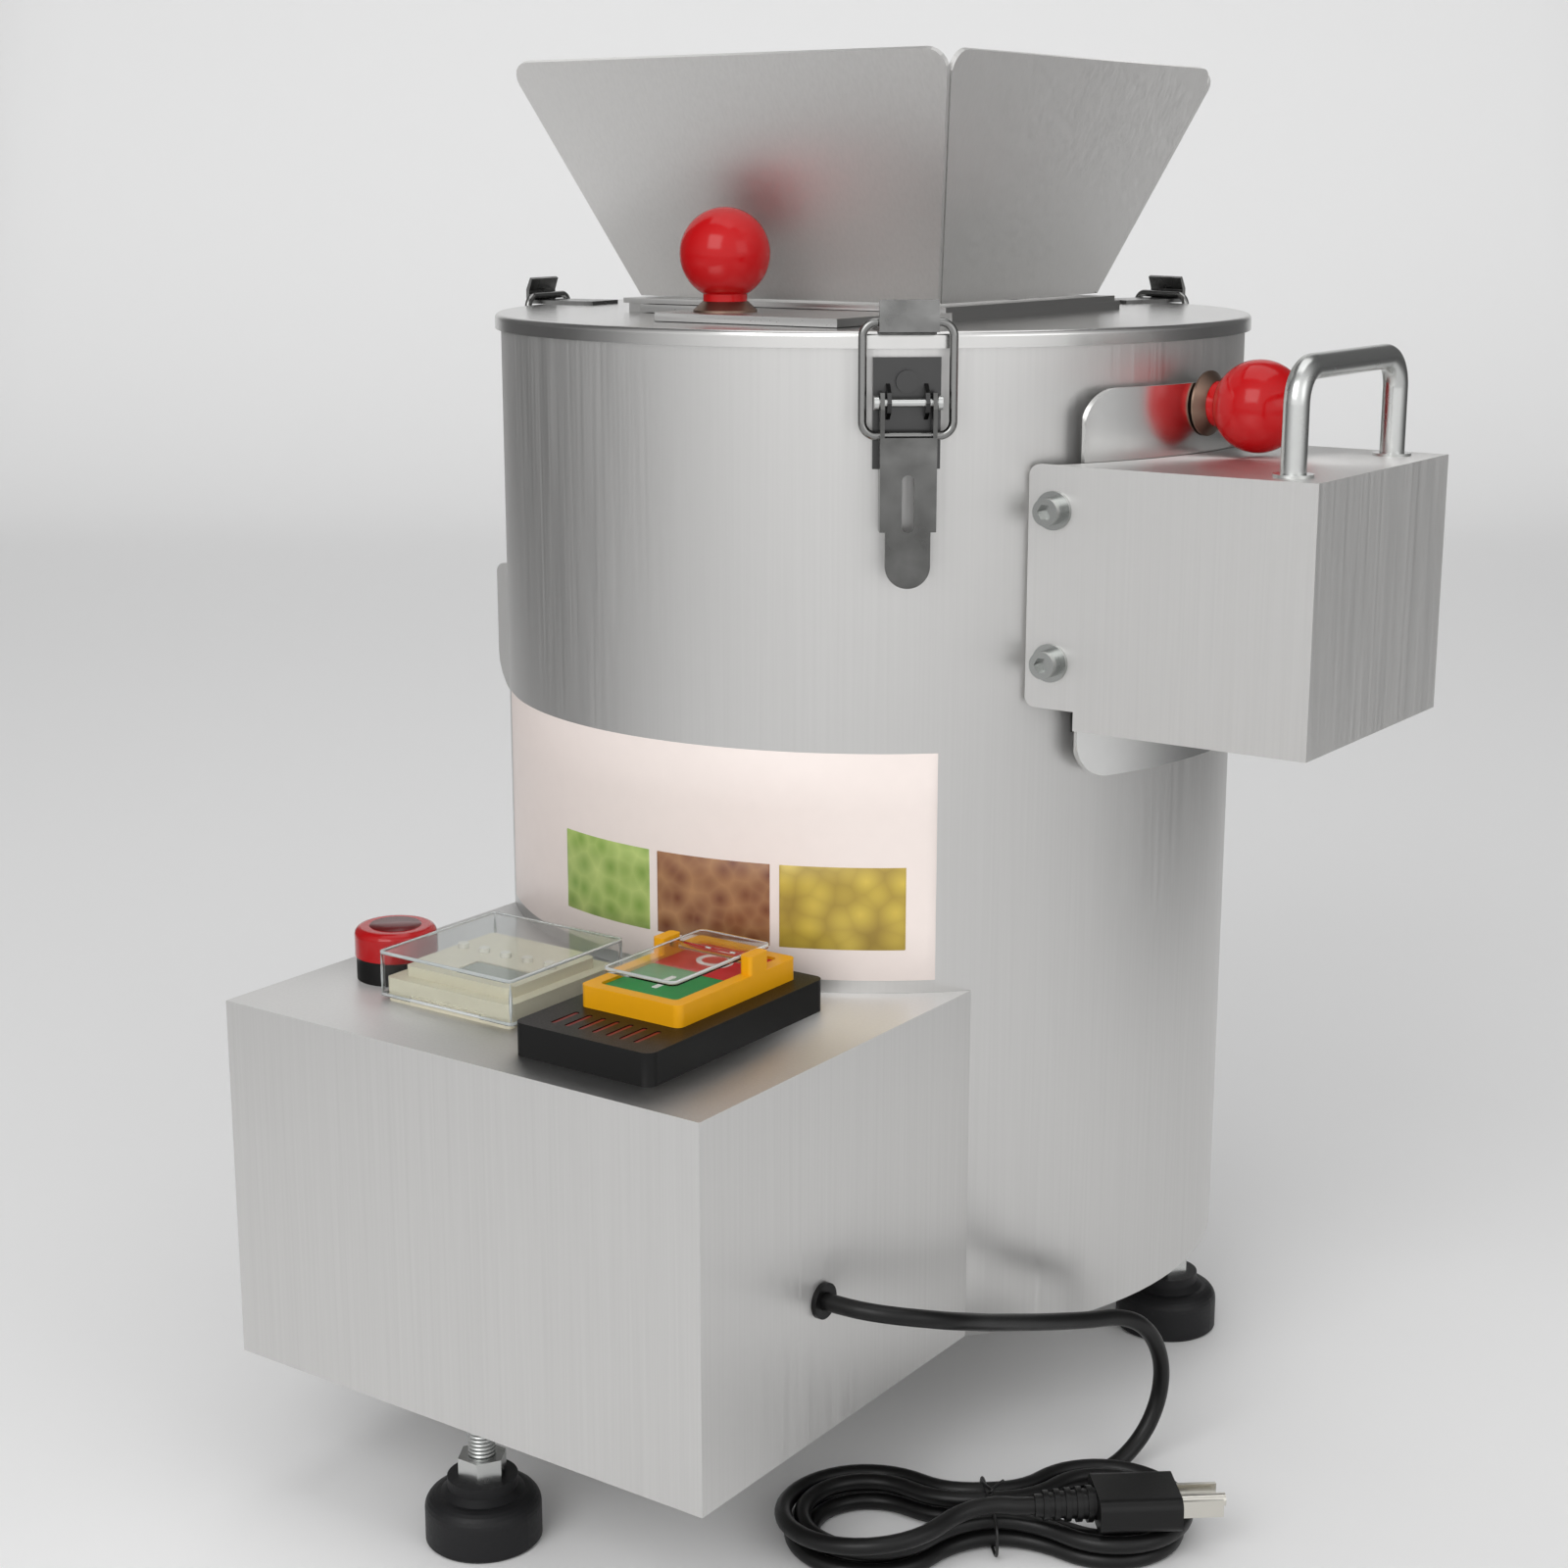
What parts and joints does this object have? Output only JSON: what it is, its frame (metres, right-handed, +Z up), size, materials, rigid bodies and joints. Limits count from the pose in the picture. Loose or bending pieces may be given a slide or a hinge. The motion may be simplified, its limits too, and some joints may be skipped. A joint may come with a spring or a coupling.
{
  "type": "chestnut peeling machine",
  "caption": "Upright steel drum peeler with a flared hopper over a sliding gate, lift-up discharge door under a side hood, over-centre lid latches, control box, levelling feet and a mains lead.",
  "frame": {"origin": "on the floor under the middle of the machine's outline, free lead left out", "axes": "+Z up along the drum's axis, -Y towards the control box, +X towards the discharge hood"},
  "size_m": [0.403, 0.421, 0.5334],
  "materials": {
    "stainless_sheet": "satin",
    "frame_steel": "satin",
    "door_steel": "polished",
    "knife_steel": "ground",
    "motor_casing": "painted",
    "machined_steel": "turned",
    "zinc_plate": "zinc plated",
    "latch_steel": "dark satin",
    "red_ball": "gloss",
    "knob_nut": "dull",
    "seal_rubber": "matt",
    "foot_rubber": "matt",
    "black_plastic": "fine grain",
    "red_lens": "gloss",
    "beige_plastic": "satin",
    "key_plastic": "satin",
    "clear_plastic": "clear",
    "yellow_plastic": "satin",
    "green_plastic": "satin",
    "red_plastic": "satin",
    "lead_rubber": "semi-matt",
    "tie_plastic": "matt",
    "pin_metal": "plated"
  },
  "bodies": {
    "machine": {"drum_shell": "stainless_sheet", "lid": "stainless_sheet", "hopper": "stainless_sheet", "discharge_hood": "stainless_sheet", "control_box": "stainless_sheet", "chip_hood": "stainless_sheet", "base_plate": "frame_steel", "chamber_floor": "frame_steel", "gate_rails": "frame_steel", "hopper_base": "frame_steel", "door_guides": "frame_steel", "box_floor": "frame_steel", "wall_knives": "knife_steel", "motor_housing": "motor_casing", "motor_end_cap": "motor_casing", "bearing_housing": "machined_steel", "spindle_bearing": "machined_steel", "motor_bolts": "machined_steel", "hood_bolts": "zinc_plate", "hood_handle": "zinc_plate", "foot_studs": "zinc_plate", "foot_nuts": "zinc_plate", "latch_pins": "zinc_plate", "latch_strikes": "latch_steel", "latch_bases": "latch_steel", "lid_gasket": "seal_rubber", "foot_cups": "foot_rubber", "buzzer_base": "black_plastic", "switch_base": "black_plastic", "cord_gland": "black_plastic", "buzzer_lens": "red_lens", "timer_body": "beige_plastic", "switch_frame": "yellow_plastic", "mains_lead": "lead_rubber", "lead_hank": "lead_rubber", "plug_body": "lead_rubber", "hank_tie": "tie_plastic", "plug_pins": "pin_metal"},
    "rotor": {"spindle": "machined_steel", "peeling_disc": "knife_steel", "disc_knives": "knife_steel", "disc_nut": "machined_steel"},
    "feed_gate_slide": {"feed_gate": "stainless_sheet", "gate_knob_nut": "knob_nut", "gate_knob": "red_ball"},
    "discharge_door": {"door_plate": "door_steel", "door_pad": "seal_rubber", "door_knob_nut": "knob_nut", "door_knob": "red_ball"},
    "lever_front": {"latch_lever_front": "latch_steel"},
    "bail_front": {"latch_bail_front": "zinc_plate"},
    "lever_rear": {"latch_lever_rear": "latch_steel"},
    "bail_rear": {"latch_bail_rear": "zinc_plate"},
    "lever_left": {"latch_lever_left": "latch_steel"},
    "bail_left": {"latch_bail_left": "zinc_plate"},
    "start_key": {"start_button": "green_plastic"},
    "stop_key": {"stop_button": "red_plastic"},
    "flap": {"switch_flap": "clear_plastic"},
    "cover": {"timer_cover": "clear_plastic"},
    "keys": {"timer_keys": "key_plastic"}
  },
  "joints": [
    {"name": "disc_spin", "type": "hinge", "parent": "machine", "child": "rotor", "pos_m": [-0.0335, 0.05749, 0.29], "axis": [0, 0, 1], "continuous": true},
    {"name": "gate_pull", "type": "slide", "parent": "machine", "child": "feed_gate_slide", "axis": [0, -1, 0], "range_m": [0, 0.118]},
    {"name": "door_lift", "type": "slide", "parent": "machine", "child": "discharge_door", "axis": [0, 0, 1], "range_m": [0, 0.056]},
    {"name": "latch_front", "type": "hinge", "parent": "machine", "child": "lever_front", "pos_m": [0.06316, -0.06623, 0.4126], "axis": [-0.788, -0.6157, 0], "range_deg": [0, 100]},
    {"name": "bail_swing_front", "type": "hinge", "parent": "lever_front", "child": "bail_front", "pos_m": [0.06223, -0.06505, 0.401], "axis": [-0.788, -0.6157, 0], "range_deg": [-70, 0]},
    {"name": "latch_rear", "type": "hinge", "parent": "machine", "child": "lever_rear", "pos_m": [0.02531, 0.20306, 0.4126], "axis": [0.9272, -0.3746, 0], "range_deg": [0, 100]},
    {"name": "bail_swing_rear", "type": "hinge", "parent": "lever_rear", "child": "bail_rear", "pos_m": [0.02475, 0.20167, 0.401], "axis": [0.9272, -0.3746, 0], "range_deg": [-70, 0]},
    {"name": "latch_left", "type": "hinge", "parent": "machine", "child": "lever_left", "pos_m": [-0.18897, 0.03564, 0.4126], "axis": [-0.1392, 0.9903, 0], "range_deg": [0, 100]},
    {"name": "bail_swing_left", "type": "hinge", "parent": "lever_left", "child": "bail_left", "pos_m": [-0.18749, 0.03585, 0.401], "axis": [-0.1392, 0.9903, 0], "range_deg": [-70, 0]},
    {"name": "start_press", "type": "slide", "parent": "machine", "child": "start_key", "axis": [0, 0, -1], "range_m": [0, 0.002], "stiffness_N_per_m": 1200},
    {"name": "stop_press", "type": "slide", "parent": "machine", "child": "stop_key", "axis": [0, 0, -1], "range_m": [0, 0.002], "stiffness_N_per_m": 1200},
    {"name": "flap_rock", "type": "hinge", "parent": "machine", "child": "flap", "pos_m": [0.0165, -0.12151, 0.218], "axis": [1, 0, 0], "range_deg": [-4, 4], "stiffness_Nm_per_rad": 0.15},
    {"name": "cover_lift", "type": "hinge", "parent": "machine", "child": "cover", "pos_m": [-0.0615, -0.11091, 0.1969], "axis": [-1, 0, 0], "range_deg": [0, 90]},
    {"name": "key_press", "type": "slide", "parent": "machine", "child": "keys", "axis": [0, 0, -1], "range_m": [0, 0.0012], "stiffness_N_per_m": 400}
  ],
  "couplings": [
    {"joint": "bail_swing_front", "follows": "latch_front", "ratio": -0.7},
    {"joint": "bail_swing_rear", "follows": "latch_rear", "ratio": -0.7},
    {"joint": "bail_swing_left", "follows": "latch_left", "ratio": -0.7}
  ]
}
